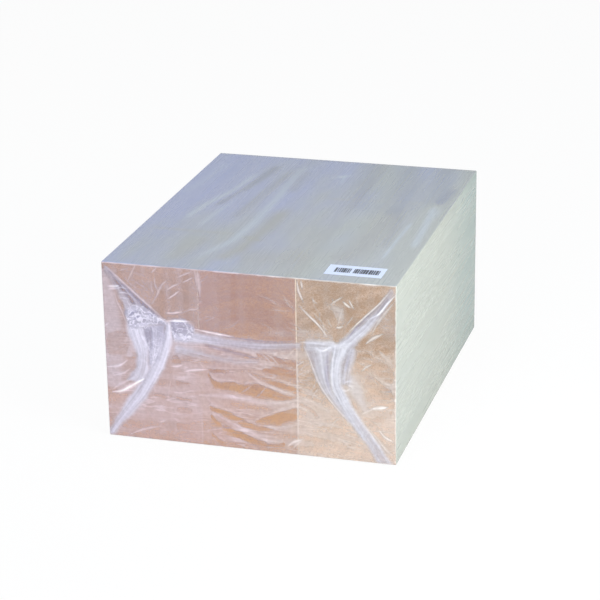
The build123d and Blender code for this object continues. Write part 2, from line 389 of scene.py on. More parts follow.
# Thin creases that catch the light: the line, half the widest width in millimetres and the share of white.
# Their white is whiter film, and above a share of 0.95 a painted glint.
bright_crease_shares = (
    # left gather and the creases round it
    (((2, 994), (43, 939), (101, 857), (154, 784), (202, 720)), 1.2, 0.80),
    (((42, 835), (53, 773), (65, 732), (77, 677), (87, 630)), 1.1, 0.75),
    (((20, 863), (43, 867), (63, 875)), 1.5, 1.15),
    (((22, 848), (40, 853), (58, 856)), 1.2, 1.00),
    (((49, 859), (71, 865), (89, 859)), 1.0, 0.80),
    (((55, 833), (78, 836), (95, 828)), 1.0, 0.80),
    (((59, 803), (80, 807), (92, 799)), 1.0, 0.80),
    (((128, 616), (144, 566), (162, 508)), 1.4, 1.00),
    (((222, 696), (262, 703), (301, 705)), 1.5, 1.15),
    (((226, 700), (233, 640), (232, 570), (222, 500)), 1.2, 0.95),
    (((19, 257), (51, 268), (82, 298), (109, 327), (133, 351)), 3.4, 1.15),
    (((22, 275), (49, 309), (78, 335), (102, 359)), 1.8, 0.80),
    (((4, 400), (17, 404), (48, 415), (77, 450)), 1.5, 1.00),
    (((30, 358), (62, 374), (85, 402)), 1.2, 0.85),
    (((232, 439), (256, 444), (272, 454)), 1.3, 1.05),
    (((278, 417), (308, 430), (360, 442)), 1.3, 1.05),
    (((167, 182), (187, 178), (202, 176)), 1.2, 0.95),
    (((183, 107), (194, 114), (205, 121)), 1.2, 0.90),
    (((150, 246), (170, 250), (186, 252)), 1.1, 0.80),
    (((221, 740), (245, 744), (275, 756)), 1.3, 1.05),
    (((90, 898), (105, 949), (122, 1000)), 1.1, 0.62),
    (((172, 783), (191, 835), (210, 897), (230, 926)), 1.6, 0.55),
    (((231, 876), (249, 896), (268, 910)), 1.2, 0.85),
    (((230, 823), (248, 843), (268, 870)), 1.2, 0.90),
    (((267, 947), (290, 967), (313, 982)), 1.1, 0.80),
    (((284, 922), (300, 936), (317, 953)), 1.0, 0.80),
    (((176, 962), (184, 975), (193, 988)), 1.0, 0.70),
    (((80, 22), (130, 58), (184, 83)), 1.6, 0.80),
    (((0, 631), (10, 646), (20, 660)), 1.0, 0.80),
    (((62, 958), (77, 966), (94, 973)), 1.0, 0.60),
    (((1, 783), (19, 793), (43, 816)), 1.4, 0.60),
    # beside the joints
    (((335, 1000), (337, 942), (341, 850)), 2.6, 0.62),
    (((324, 1000), (328, 962), (330, 905)), 1.6, 0.60),
    (((300, 771), (318, 775), (334, 781)), 1.2, 0.62),
    (((668, 10), (668, 220), (668, 440), (668, 640)), 0.9, 0.85),
    (((334, 5), (334, 100), (334, 200)), 0.7, 0.60),
    # seam and the folds under it
    (((318, 664), (359, 656), (397, 649), (455, 641)), 1.5, 1.15),
    (((478, 579), (500, 566), (524, 538)), 1.1, 0.62),
    (((525, 570), (549, 558), (578, 518)), 1.2, 0.66),
    (((559, 563), (583, 543), (605, 506)), 1.2, 0.66),
    (((588, 572), (608, 551), (636, 527)), 1.1, 0.62),
    (((617, 569), (627, 554), (639, 536)), 1.1, 0.62),
    (((663, 507), (678, 525), (692, 543)), 1.2, 0.75),
    # ripples and creases over the middle board
    (((327, 289), (402, 296), (476, 292), (555, 280), (666, 313)), 4.6, 0.66),
    (((491, 455), (537, 400), (581, 375), (625, 354), (666, 343)), 2.8, 0.64),
    (((372, 200), (424, 155), (473, 119), (523, 93), (592, 90)), 3.0, 0.64),
    (((553, 148), (598, 146), (664, 174)), 2.4, 0.60),
    (((430, 250), (490, 215), (560, 225), (640, 275)), 3.0, 0.46),
    (((470, 326), (490, 345), (508, 372)), 1.3, 0.46),
    (((633, 48), (651, 72), (683, 94)), 1.8, 1.00),
    (((650, 38), (664, 64), (680, 84)), 1.2, 0.80),
    (((626, 878), (643, 851), (664, 824)), 1.8, 0.34),
    # ripples over the right board
    (((668, 398), (705, 372), (750, 330)), 2.6, 0.52),
    (((668, 345), (720, 312), (780, 262)), 2.6, 0.52),
    (((672, 240), (740, 205), (820, 185)), 3.0, 0.48),
    (((690, 130), (770, 120), (860, 100)), 3.4, 0.46),
    # right gather and the creases round it
    (((1000, 956), (971, 902), (942, 842), (908, 806)), 1.3, 1.10),
    (((984, 976), (938, 886), (905, 833), (868, 772), (836, 714)), 1.1, 0.95),
    (((995, 916), (970, 864), (941, 797), (918, 723)), 1.6, 0.62),
    (((899, 671), (922, 703), (955, 733)), 2.2, 0.80),
    (flap_edge_shares, 1.2, 0.95),
    (((679, 646), (708, 649), (737, 651), (770, 643)), 1.4, 0.90),
    (((730, 622), (755, 610), (778, 632)), 1.8, 1.05),
    (((800, 632), (789, 575), (786, 518), (785, 462), (788, 406), (801, 363), (825, 321)), 1.8, 1.02),
    (((765, 620), (790, 640), (815, 650), (850, 670)), 2.2, 0.98),
    (((878, 244), (917, 160), (955, 69)), 1.2, 0.90),
    (((907, 200), (945, 125), (974, 56)), 1.0, 0.80),
    (((817, 402), (833, 398), (844, 410)), 1.2, 1.00),
    (((840, 430), (850, 425), (856, 411)), 1.2, 1.00),
    (((822, 438), (841, 452), (863, 442)), 1.1, 0.90),
    (((884, 273), (907, 296), (924, 307)), 1.2, 0.80),
    (((917, 309), (941, 317), (971, 326)), 2.6, 1.15),
    (((943, 191), (962, 156), (990, 133)), 1.6, 1.10),
    (((953, 114), (969, 80), (989, 59)), 1.2, 0.90),
    (((941, 639), (965, 603), (993, 556)), 2.2, 0.52),
    (((678, 847), (710, 798), (743, 748), (770, 692)), 1.3, 1.10),
    (((671, 985), (677, 928), (692, 872)), 1.3, 1.00),
    (((684, 990), (687, 967), (689, 943)), 1.1, 0.95),
    (((782, 869), (802, 894), (825, 918)), 1.0, 0.75),
    (((720, 893), (729, 879), (738, 864)), 1.0, 0.75),
    (((825, 891), (836, 875), (849, 860)), 1.5, 1.15),
    (((844, 904), (851, 881), (860, 856)), 1.2, 1.00),
    (((800, 745), (812, 748), (823, 753)), 1.2, 0.95),
    (((884, 515), (901, 542), (920, 558)), 1.2, 0.80),
)

# Dark creases, where the film turns away from the light: the line, half the widest width in millimetres and
# the share of shade.
dark_crease_shares = (
    (((19, 970), (67, 892), (110, 822), (149, 775), (192, 721)), 2.0, 0.85),
    (((90, 705), (105, 729), (123, 738)), 2.2, 0.75),
    (((107, 690), (122, 706), (135, 699)), 2.0, 0.70),
    (((157, 715), (172, 726), (187, 719)), 2.0, 0.65),
    (((240, 684), (272, 688), (306, 687)), 2.6, 0.50),
    (((259, 622), (273, 618), (287, 624)), 1.8, 0.60),
    (((350, 656), (445, 638), (526, 632), (628, 640), (680, 660)), 1.0, 0.80),
    (((353, 580), (397, 566), (446, 555), (490, 543), (537, 530)), 2.4, 0.60),
    (((958, 920), (918, 846), (888, 792), (856, 730), (840, 690)), 1.6, 0.70),
    (((771, 605), (768, 520), (770, 440), (778, 390)), 3.0, 0.50),
    (((846, 610), (836, 550), (830, 500)), 1.4, 0.60),
)

# Faint short creases round the knots that the film is drawn towards: how far from a knot they lie, how long
# they are, how far they turn and bow, half their widths in millimetres and their shares of white.
knot_place_shares = ((200, 680), (820, 640))
faint_creases_each = 100
faint_away = (18 * mm, 80 * mm)
faint_length = (6 * mm, 20 * mm)
faint_turn = 0.3
faint_bow_shares = (-0.12, 0.12)
faint_half_widths = (0.6, 1.0)
faint_white_shares = (0.30, 0.65)

# Film over an end: where its looks change, in shares across it and up it
seam_up_shares = (0.58, 0.66)
left_board_shares = (0.30, 0.36)
right_board_shares = (0.64, 0.70)
past_joint_shares = (0.36, 0.46)

# Steps of its random detail in both directions, and how far its ripples bend
upright_step = (5 * mm, 60 * mm)
bend_step = (60 * mm, 50 * mm)
bend_height = 10 * mm
ripple_step = (42 * mm, 6 * mm)
fine_step = (14 * mm, 2.6 * mm)
leaf_edge_step = (6 * mm, 2.2 * mm)
wisp_step = (14 * mm, 1.6 * mm)
strand_step = (2.4 * mm, 42 * mm)
thread_step = (1.2 * mm, 22 * mm)
gather_edge_step = (6 * mm, 0.5)
crease_step = (5 * mm, 1.0)
border_step = (4 * mm, 4 * mm)
broken_step = (11 * mm, 30 * mm)

# How its edges are rounded, how they fade from outside to inside, and how ragged they are
film_round = 0.8 * mm
milky_fade = (-3.0 * mm, 5.0 * mm)
leaf_top_fade = (-0.7 * mm, 0.9 * mm)
leaf_low_fade = (-1.6 * mm, 2.0 * mm)
leaf_ragged = 2.4 * mm
leaf_rim_place = 1.0 * mm
leaf_rim_width = 1.2 * mm
leaf_rim_gaps = (-0.6 * mm, 0.6 * mm)
leaf_fold_place = -1.4 * mm
leaf_fold_width = 1.1 * mm
leaf_fold_fade = (-1.0 * mm, 1.5 * mm)
gather_overrun = 2.4 * mm
gather_fade = 1.6 * mm
thin_gather_fade = 3.0 * mm
gather_end_fade = 4 * mm
gather_ragged = 1.8 * mm
border_fade = (0.5 * film_round, 3.5 * mm)
border_core = 0.2 * mm
border_width = 1.0 * mm
border_ragged = 1.6 * mm

# How far it stands off the wood, and how white or gathered it gets
ripple_lift = 0.35 * mm
leaf_fold_lift = 0.4 * mm
crease_lift = 0.2 * mm
milky_gathered_share = 0.3
gather_top_share = 0.93
border_white_share = 0.4
edge_highlight_share = 0.85
white_range_shares = (0.03, 1.15)


def end_line(shares, count):
    """Points along a smooth line over an end, in metres across from its middle and up from its bottom."""
    points = (np.array(shares) / share_unit - (0.5, 0.0)) * (pack_width, pack_height)
    steps = np.append(0.0, np.cumsum(np.linalg.norm(np.diff(points, axis=0), axis=1)))
    slopes = np.gradient(points, steps, axis=0)
    wanted = np.linspace(0, steps[-1], count)
    at = np.clip(np.searchsorted(steps, wanted, side="right") - 1, 0, len(steps) - 2)
    span = (steps[at + 1] - steps[at])[:, None]
    t = (wanted - steps[at])[:, None] / span
    start, stop = points[at], points[at + 1]
    return (
        start * (1 + 2 * t) * (1 - t) ** 2
        + stop * t ** 2 * (3 - 2 * t)
        + span * (slopes[at] * t * (1 - t) ** 2 + slopes[at + 1] * t ** 2 * (t - 1))
    )


def line_length(line):
    """The length of a line of points."""
    return np.linalg.norm(np.diff(line, axis=0), axis=1).sum()


def smooth(values, low, high):
    """0 at low, 1 at high and a smooth step between them."""
    t = np.clip((values - low) / (high - low), 0, 1)
    return t * t * (3 - 2 * t)


def bell(values, width):
    """1 at zero, falling off smoothly on both sides."""
    return np.exp(-(values / width) ** 2)


def lattice_noise(x, y, step, seed):
    """Smooth random values from 0 to 1 over a plane, with a step each way, the same on every run."""
    size = 64
    table = np.random.default_rng(seed).random((size, size))
    x, y = x / step[0], y / step[1]
    left, low = np.floor(x).astype(int), np.floor(y).astype(int)
    across, up = smooth(x - left, 0, 1), smooth(y - low, 0, 1)
    corners = [[table[(left + i) % size, (low + j) % size] for j in (0, 1)] for i in (0, 1)]
    bottom = corners[0][0] * (1 - across) + corners[1][0] * across
    top = corners[0][1] * (1 - across) + corners[1][1] * across
    return bottom * (1 - up) + top * up


def run_places(points, start, run):
    """Each point's share of the way along a straight run, and its distance from it."""
    t = np.clip((points - start) @ run / (run @ run), 0, 1)
    return t, np.linalg.norm(points - start - t[:, None] * run, axis=1)


def line_places(points, line):
    """Each point's distance from a line and the share of the way along it."""
    best = np.full(len(points), np.inf)
    along = np.zeros(len(points))
    pieces = len(line) - 1
    for piece in range(pieces):
        t, away = run_places(points, line[piece], line[piece + 1] - line[piece])
        nearer = away < best
        best[nearer] = away[nearer]
        along[nearer] = ((piece + t) / pieces)[nearer]
    return best, along


def band_places(points, first_edge, second_edge):
    """Each point's share across a band and along it, and its depth inside either edge, negative outside."""
    best = np.full(len(points), np.inf)
    across, along, from_first, from_second = np.zeros((4, len(points)))
    rungs = len(first_edge)
    for rung in range(rungs):
        run = second_edge[rung] - first_edge[rung]
        t, away = run_places(points, first_edge[rung], run)
        nearer = away < best
        best[nearer] = away[nearer]
        across[nearer] = t[nearer]
        along[nearer] = rung / (rungs - 1)
        from_first[nearer] = (t * np.linalg.norm(run) - away)[nearer]
        from_second[nearer] = ((1 - t) * np.linalg.norm(run) - away)[nearer]
    past_ends = 3 * best * ((along == 0) | (along == 1))
    return across, along, from_first - past_ends, from_second - past_ends


class EndFilm:
    """The film over an end at given points: its lift off the wood, its white, its shade and its threads."""

    line_points = 40
    rungs = 90
    reach = 9 * mm

    def __init__(self, points, cell):
        self.points = points
        self.cell = cell
        x, z = points.T
        across, up = x / pack_width + 0.5, z / pack_height
        low = 1 - smooth(up, *seam_up_shares)
        on_left, on_right = 1 - smooth(across, *left_board_shares), smooth(across, *right_board_shares)
        past_joint = 1 - smooth(across, *past_joint_shares)
        upright = lattice_noise(x, z, upright_step, 1) - 0.5
        bend = bend_height * lattice_noise(x, z, bend_step, 2)
        ripple = smooth(lattice_noise(x, z + bend, ripple_step, 3), 0.15, 0.85)
        fine = lattice_noise(x, z + bend, fine_step, 4) - 0.5
        veil_high = 0.14 + 0.09 * past_joint + 0.02 * on_right
        veil_high += (0.12 + 0.12 * on_left + 0.06 * on_right) * upright
        veil_low = 0.39 - 0.10 * on_right + 0.22 * (ripple - 0.5) + 0.10 * fine
        veil_low += 0.10 * upright * (on_left + on_right)
        self.white = veil_high * (1 - low) + veil_low * low
        self.shade, self.gathered, self.knotted, self.green = np.zeros((4, len(points)))
        self.lift = ripple_lift * ripple * low
        self.flow = np.stack([x, z + bend, np.zeros(len(points))], axis=1)

    def near(self, *lines):
        """The points close to some lines."""
        spots = np.concatenate(lines)
        low, high = spots.min(axis=0) - self.reach, spots.max(axis=0) + self.reach
        return np.flatnonzero(np.all((self.points > low) & (self.points < high), axis=1))

    def band(self, first, second):
        """The two edges of a band, and the points close to it."""
        edges = end_line(first, self.rungs), end_line(second, self.rungs)
        return edges, self.near(*edges)

    def blend(self, layer, near, share, value):
        """Moves a layer towards a value at some points."""
        layer[near] += share * (value - layer[near])

    def milky(self, first, second, white):
        """A soft patch of milky film, a little gathered."""
        edges, near = self.band(first, second)
        from_first, from_second = band_places(self.points[near], *edges)[2:]
        cover = smooth(from_first, *milky_fade) * smooth(from_second, *milky_fade)
        self.blend(self.white, near, cover, white)
        self.blend(self.gathered, near, cover, milky_gathered_share)

    def clear(self, first, second, clearness, seed):
        """A patch that lies on the wood, with painted shade along its upper rim, a painted highlight on the
        raised fold above it, and a fade along its lower edge.
        """
        edges, near = self.band(first, second)
        from_first, from_second = band_places(self.points[near], *edges)[2:]
        x, z = self.points[near].T
        ragged = leaf_ragged * (lattice_noise(x, z, leaf_edge_step, seed) - 0.5)
        wisps = lattice_noise(x, self.flow[near, 1], wisp_step, seed + 1)
        inside = smooth(from_first + 0.5 * ragged, *leaf_top_fade)
        inside *= clearness * smooth(from_second + ragged, *leaf_low_fade)
        # Painted shade along the upper rim, broken by gaps
        rim = inside * bell(from_first - leaf_rim_place, leaf_rim_width) * smooth(ragged, *leaf_rim_gaps)
        # The raised fold above the rim, which also gets a painted highlight
        fold = clearness * smooth(from_second, *leaf_fold_fade)
        fold *= bell(from_first - leaf_fold_place, leaf_fold_width)
        self.blend(self.white, near, inside, 0.03 + 0.22 * smooth(wisps, 0.45, 0.95))
        self.blend(self.lift, near, inside, 0.0)
        self.white[near] += 0.10 * fold + 0.05 * rim
        self.shade[near] += 0.5 * rim
        self.lift[near] += leaf_fold_lift * fold

    def gather(self, first, second, whites, shades, pleats, height, knotted, seed):
        """A band of film drawn together, with pleats and threads along it, or a knot of them."""
        edges, near = self.band(first, second)
        across, along, from_first, from_second = band_places(self.points[near], *edges)
        length = line_length(edges[0])
        width = np.linalg.norm(edges[1] - edges[0], axis=1).mean()
        white, shade = (ends[0] + (ends[1] - ends[0]) * along for ends in (whites, shades))
        run = along * length / (1 - 0.8 * knotted)
        strands = lattice_noise(across * width, run, strand_step, seed)
        threads = lattice_noise(across * width, run, thread_step, seed + 1)
        streak = 0.55 * strands + 0.45 * threads
        ragged = gather_ragged * (lattice_noise(along * length, across, gather_edge_step, seed + 2) - 0.5)
        fade = gather_fade + thin_gather_fade * (1 - white)
        cover = smooth(np.minimum(from_first, from_second) + ragged, -gather_overrun, fade)
        cover *= smooth(np.minimum(along, 1 - along) * length, 0, gather_end_fade)
        streaked = white + (streak - 0.5) * (1.0 - 0.8 * white)
        self.blend(self.white, near, cover, np.minimum(streaked, gather_top_share))
        self.blend(self.shade, near, cover, shade * (0.5 + 0.5 * smooth(streak, 0.70, 0.32)))
        pleat = 0.5 + 0.5 * np.cos(2 * np.pi * pleats * across + 3 * strands)
        dome = np.clip(4 * across * (1 - across), 0, 1) ** 0.7
        self.blend(self.lift, near, cover, height * mm * dome * (0.8 + 0.2 * pleat))
        own = cover > 0.5
        flow = np.stack([along * length, across * width, np.full(len(near), seed * mm)], axis=1)
        self.flow[near[own]] = flow[own]
        self.blend(self.gathered, near, cover, 1.0)
        self.blend(self.knotted, near, cover, knotted)

    def crease(self, layer, shares, half_width, value, lift):
        """A thin line of whiter film with a painted highlight, or of painted shade where it turns away from
        the light.
        """
        line = end_line(shares, self.line_points)
        near = self.near(line)
        away, along = line_places(self.points[near], line)
        swell = half_width * mm * np.sin(np.pi * np.clip(along, 0.04, 0.96)) ** 0.7
        shown = np.maximum(swell, 1.1 * self.cell)
        crest = bell(away, 0.6 * shown) * swell / shown
        own_row = np.full(len(near), half_width)
        crest *= 0.8 + 0.3 * lattice_noise(along * line_length(line), own_row, crease_step, 7)
        if layer is self.white:
            self.blend(self.shade, near, crest, 0.0)
            self.blend(self.knotted, near, crest, 0.0)
            self.blend(self.white, near, crest, np.maximum(self.white[near], value))
        else:
            self.blend(self.white, near, crest, np.maximum(self.white[near], 0.5))
            self.blend(self.shade, near, crest, value)
        self.lift[near] += lift * crest

    def finish(self):
        """Lays the film down along the borders, where it is tight and whiter, with a painted highlight along
        the top and right edges.
        """
        x, z = self.points.T
        to_top, to_right = pack_height - z, pack_width / 2 - x
        border = np.minimum.reduce([x + pack_width / 2, to_right, z, to_top])
        self.lift *= smooth(border, *border_fade)
        width = border_width + border_ragged * lattice_noise(x, z, border_step, 9)
        # A painted highlight, broken in places, along the top and right edges
        bright = edge_highlight_share * (0.6 + 0.6 * lattice_noise(x, z, broken_step, 10))
        for distance, white in ((border, border_white_share), (to_top, bright), (to_right, bright)):
            edge = 1 - smooth(distance, border_core, width)
            self.white = np.maximum(self.white, white * edge)
        self.white = np.clip(self.white, *white_range_shares)
        self.shade = np.clip(self.shade, 0, 1)


def faint_creases():
    """Short creases that run towards the knots, drawn at random but the same on every run."""
    draw = np.random.default_rng(21)
    size = np.array((pack_width, pack_height))
    rows = []
    for knot_shares in np.repeat(np.array(knot_place_shares) / share_unit, faint_creases_each, axis=0):
        turn = draw.uniform(0, 2 * np.pi)
        away = draw.uniform(*faint_away)
        length = draw.uniform(*faint_length)
        heading = turn + draw.normal(0, faint_turn)
        bow = draw.uniform(*faint_bow_shares) * length
        half_width = draw.uniform(*faint_half_widths)
        white = draw.uniform(*faint_white_shares)
        middle = knot_shares * size + away * np.array((math.cos(turn), math.sin(turn)))
        run = 0.5 * length * np.array((math.cos(heading), math.sin(heading)))
        crown = middle + bow * np.array((-math.sin(heading), math.cos(heading)))
        shares = np.array((middle - run, crown, middle + run)) / size
        same_half = (shares[:, 0] < 0.5) == (knot_shares[0] < 0.5)
        if same_half.all() and (shares > 0.02).all() and (shares < 0.98).all():
            rows.append((share_unit * shares, half_width, white))
    return rows


def end_film(points, cell):
    """All the folds of the film over an end, from the lowest to the topmost, for a mesh of given cells."""
    film = EndFilm(points, cell)
    for patch in milky_patch_shares:
        film.milky(*patch)
    for number, leaf in enumerate(clear_leaf_shares):
        film.clear(*leaf, seed=100 + 2 * number)
    for number, gather in enumerate(gather_shares):
        film.gather(*gather, seed=200 + 5 * number)
    for crease in dark_crease_shares:
        film.crease(film.shade, *crease, lift=0.0)
    for crease in (*faint_creases(), *bright_crease_shares):
        film.crease(film.white, *crease, lift=crease_lift)
    film.finish()
    return film


# Film mesh
front_cells = (324, 202)
back_cells = (172, 108)
sleeve_step_top = 2.0 * mm
sleeve_step_round = 5.0 * mm
sleeve_step_along = 5.0 * mm
sleeve_wave = 0.12 * mm
sleeve_wave_step = (1 / 9, 60 * mm)
sleeve_wave_end_fade = (2 * mm, 20 * mm)
sleeve_wave_corner_shares = (0.01, 0.06)
sleeve_white_share = 0.50
top_streak_end_share = 0.15

# Long streaks and folds of the film on top: points in shares across from the left and along from the front,
# half the width in millimetres, the share of painted shade, below zero for a painted sheen, and the share of
# green.
top_streak_shares = (
    (((375, 980), (368, 810), (372, 600), (375, 400), (360, 240), (270, 20)), 5, -0.65, 0.0),
    (((221, 860), (197, 660), (146, 510), (121, 350)), 4, -0.7, 0.0),
    (((236, 680), (216, 480), (196, 310)), 4, -0.5, 0.0),
    (((72, 940), (52, 730), (21, 580)), 6, -0.3, 0.0),
    (((904, 510), (897, 340), (894, 170)), 2, -0.8, 0.0),
    (((937, 700), (957, 480), (970, 260)), 4, -0.7, 0.0),
    (((969, 920), (971, 710), (973, 510)), 3, -0.3, 0.0),
    (((272, 940), (250, 790), (215, 610), (184, 490)), 5, 0.75, 0.2),
    (((334, 900), (317, 710), (302, 540), (284, 380)), 5, 0.45, 0.3),
    (((395, 890), (393, 790), (408, 650)), 5, 0.4, 0.3),
    (((971, 830), (961, 710), (948, 650)), 4, 0.7, 0.3),
    (((846, 570), (868, 380), (869, 260)), 4, 0.4, 0.5),
    (((600, 1100), (640, 820), (700, 500)), 15, 0.45, 0.0),
    (((740, 1100), (790, 820), (840, 500)), 16, 0.50, 0.1),
    (((880, 1100), (920, 820), (950, 600)), 13, 0.55, 0.1),
    (((420, 100), (540, 130), (660, 180)), 22, 0.0, 0.6),
    (((447, 560), (434, 340), (406, 180), (365, 60)), 8, 0.1, 0.9),
    (((819, 630), (816, 410), (795, 240), (740, 120)), 12, 0.25, 0.8),
    (((253, 260), (237, 150), (218, 50)), 10, 0.0, 0.4),
    (((18, 296), (166, 289), (330, 286), (496, 242)), 3, -0.1, 0.5),
    (((522, 643), (667, 651), (813, 651), (919, 661)), 3, -0.1, 0.5),
    (((494, 830), (534, 847), (574, 865)), 2, -0.9, 0.0),
    (((539, 878), (547, 820), (555, 773)), 2, -0.6, 0.0),
)


def side_steps(size, cells):
    """Places along one side of the film: its corners, where its rounding ends, and even steps between."""
    return np.concatenate([[0.0], np.linspace(film_round, size - film_round, cells - 1), [size]])


def rounded(points):
    """Points of a sharp box of film moved onto the same box with rounded edges."""
    half = np.array((pack_width, pack_length, pack_height)) / 2
    middle = np.array((0.0, 0.0, half[2]))
    core = middle + np.clip(points - middle, film_round - half, half - film_round)
    out = points - core
    return core + film_round * out / np.maximum(np.linalg.norm(out, axis=1), 1e-9)[:, None]


def round_places(across, up):
    """Places round the block from its bottom left edge, seen from the front: side number plus share of it."""
    share_across, share_up = across / pack_width + 0.5, up / pack_height
    bottom, right, top = np.isclose(share_up, 0), np.isclose(share_across, 1), np.isclose(share_up, 1)
    sides = [bottom & ~right, right & ~top, top & (share_across > 0)]
    places = [share_across, 1 + share_up, 3 - share_across]
    return np.mod(np.select(sides, places, 4 - share_up), 4)


def zip_loops(first, first_places, second, second_places):
    """Triangles between two closed loops of vertices, given each vertex's place round the block."""
    faces = []
    i = j = 0
    while i < len(first) or j < len(second):
        next_first = first_places[i + 1] if i + 1 < len(first) else 4.0
        next_second = second_places[j + 1] if j + 1 < len(second) else 4.0
        a, b = first[i % len(first)], second[j % len(second)]
        if j >= len(second) or (i < len(first) and next_first <= next_second):
            faces.append((a, first[(i + 1) % len(first)], b))
            i += 1
        else:
            faces.append((a, second[(j + 1) % len(second)], b))
            j += 1
    return faces


class FilmMesh:
    """One closed skin: two finely meshed ends, a sleeve of long faces, and triangles that join them."""

    def __init__(self):
        self.vertices, self.faces = [], []
        self.layers = {"white": [], "shade": [], "gathered": [], "knotted": [], "green": [], "flow": []}
        loops = [self.end(*front_cells, turn=1), self.end(*back_cells, turn=-1)]
        self.end_faces = len(self.faces)
        rings, ring_places = self.sleeve()
        self.faces += [face[::-1] for face in zip_loops(*loops[0], rings[0], ring_places)]
        self.faces += zip_loops(*loops[1], rings[-1], ring_places)

    def end(self, cells_across, cells_up, turn):
        """One end, turned half round for the back, and its border loop."""
        across_steps = side_steps(pack_width, cells_across) - pack_width / 2
        grid_x, grid_z = np.meshgrid(across_steps, side_steps(pack_height, cells_up))
        points = np.stack([grid_x.ravel(), grid_z.ravel()], axis=1)
        film = end_film(points, pack_width / cells_across)
        front = np.full(len(points), -turn * pack_length / 2)
        skin = rounded(np.stack([turn * points[:, 0], front, points[:, 1]], axis=1))
        skin[:, 1] -= turn * film.lift
        number = len(self.vertices) + np.arange(len(points)).reshape(grid_x.shape)
        self.vertices += skin.tolist()
        for name, layer in self.layers.items():
            layer.append(getattr(film, name))
        corners = (number[:-1, :-1], number[:-1, 1:], number[1:, 1:], number[1:, :-1])
        self.faces += np.stack(corners, axis=-1).reshape(-1, 4).tolist()
        border = np.concatenate([number[0, :-1], number[:-1, -1], number[-1, :0:-1], number[:0:-1, 0]])
        spots = points[border - number[0, 0]] * (turn, 1)
        places = round_places(*spots.T)
        order = np.argsort(places)
        return border[order].tolist(), places[order].tolist()

    def sleeve(self):
        """Rings of the long faces, with gentle waves on the top and the sides."""
        half_width = pack_width / 2
        top_steps = side_steps(pack_width, round(pack_width / sleeve_step_top)) - half_width
        bottom_steps = side_steps(pack_width, round(pack_width / sleeve_step_round)) - half_width
        up_steps = side_steps(pack_height, round(pack_height / sleeve_step_round))
        ring = [(x, 0.0) for x in bottom_steps[:-1]] + [(half_width, z) for z in up_steps[:-1]]
        ring += [(x, pack_height) for x in top_steps[:0:-1]] + [(-half_width, z) for z in up_steps[:0:-1]]
        ring_x, ring_z = np.array(ring).T
        places = round_places(ring_x, ring_z)
        side = places.astype(int)
        inner = smooth(np.minimum(places - side, 1 - places + side), *sleeve_wave_corner_shares)
        by_label = np.abs(ring_x - (label_low.x + label_high.x) / 2) < label_high.x - label_low.x
        along_steps = side_steps(pack_length, round(pack_length / sleeve_step_along))[1:-1] - pack_length / 2
        none = np.zeros(len(ring))
        rings = []
        for y in along_steps:
            skin = rounded(np.stack([ring_x, none + y, ring_z], axis=1))
            wave = sleeve_wave * inner * lattice_noise(places, none + y, sleeve_wave_step, 8)
            wave *= smooth(pack_length / 2 - abs(y), *sleeve_wave_end_fade)
            wave[by_label & (y < 2 * label_high.y - label_low.y)] = 0.0
            skin[:, 0] += wave * ((side == 1).astype(float) - (side == 3))
            skin[:, 2] += wave * (side == 2)
            rings.append(list(range(len(self.vertices), len(self.vertices) + len(ring))))
            self.vertices += skin.tolist()
            shade, green = self.streaks(skin, side == 2)
            layers = (none + sleeve_white_share, shade, none, none, green, skin)
            for layer, values in zip(self.layers.values(), layers):
                layer.append(values)
        for here, there in zip(rings, rings[1:]):
            after = here[1:] + here[:1], there[1:] + there[:1]
            self.faces += zip(there, after[1], after[0], here)
        return rings, places.tolist()

    def streaks(self, skin, on_top):
        """The shares of painted shade or sheen and of green round one ring, from the streaks on top."""
        shade, green = np.zeros((2, len(skin)))
        for shares, half_width, streak_shade, streak_green in top_streak_shares:
            line = (np.array(shares) / share_unit - 0.5) * (pack_width, pack_length)
            away, along = line_places(skin[:, :2], line)
            crest = bell(away, half_width * mm) * on_top
            crest *= smooth(np.minimum(along, 1 - along), 0, top_streak_end_share)
            shade += crest * streak_shade
            green += crest * streak_green
        return np.clip(shade, -1, 1), np.clip(green, 0, 1)

    def made(self):
        """The Blender mesh, its faces split between two material slots, and its layers."""
        mesh = bpy.data.meshes.new("film")
        mesh.from_pydata(self.vertices, [], self.faces)
        for name, parts in self.layers.items():
            values = np.concatenate(parts).astype(np.float32)
            if values.ndim == 1:
                mesh.attributes.new(name, "FLOAT", "POINT").data.foreach_set("value", values)
            else:
                mesh.attributes.new(name, "FLOAT_VECTOR", "POINT").data.foreach_set("vector", values.ravel())
        mesh.shade_smooth()
        slots = np.ones(len(self.faces), dtype=np.int32)
        slots[:self.end_faces] = 0
        mesh.polygons.foreach_set("material_index", slots)
        mesh.update()
        return mesh


# Film colours, and the depth of its finest relief
veil_white_left = srgb(231, 212, 220)
veil_white_right = srgb(230, 222, 217)
gather_white_left = srgb(228, 224, 242)
gather_white_right = srgb(219, 220, 230)
film_shade = srgb(150, 148, 184)
# Painted glint: near-white colour for creases and edges painted as catching the light
film_glint = srgb(253, 250, 250)
# Painted reflection on the film on top: blue-grey, with a painted shade and a painted sheen for its streaks
top_reflection_blue = srgb(173, 184, 236)
top_reflection_grey = srgb(184, 191, 200)
top_shade = srgb(138, 148, 186)
top_sheen = srgb(206, 220, 244)
top_green = srgb(178, 180, 186)
# Painted light on the film on the sides: pale green near the front, a painted shade towards the back
side_lit_green = srgb(204, 216, 212)
side_far_shade = srgb(178, 203, 205)
end_film_depth = 0.2 * mm
sleeve_film_depth = 0.05 * mm


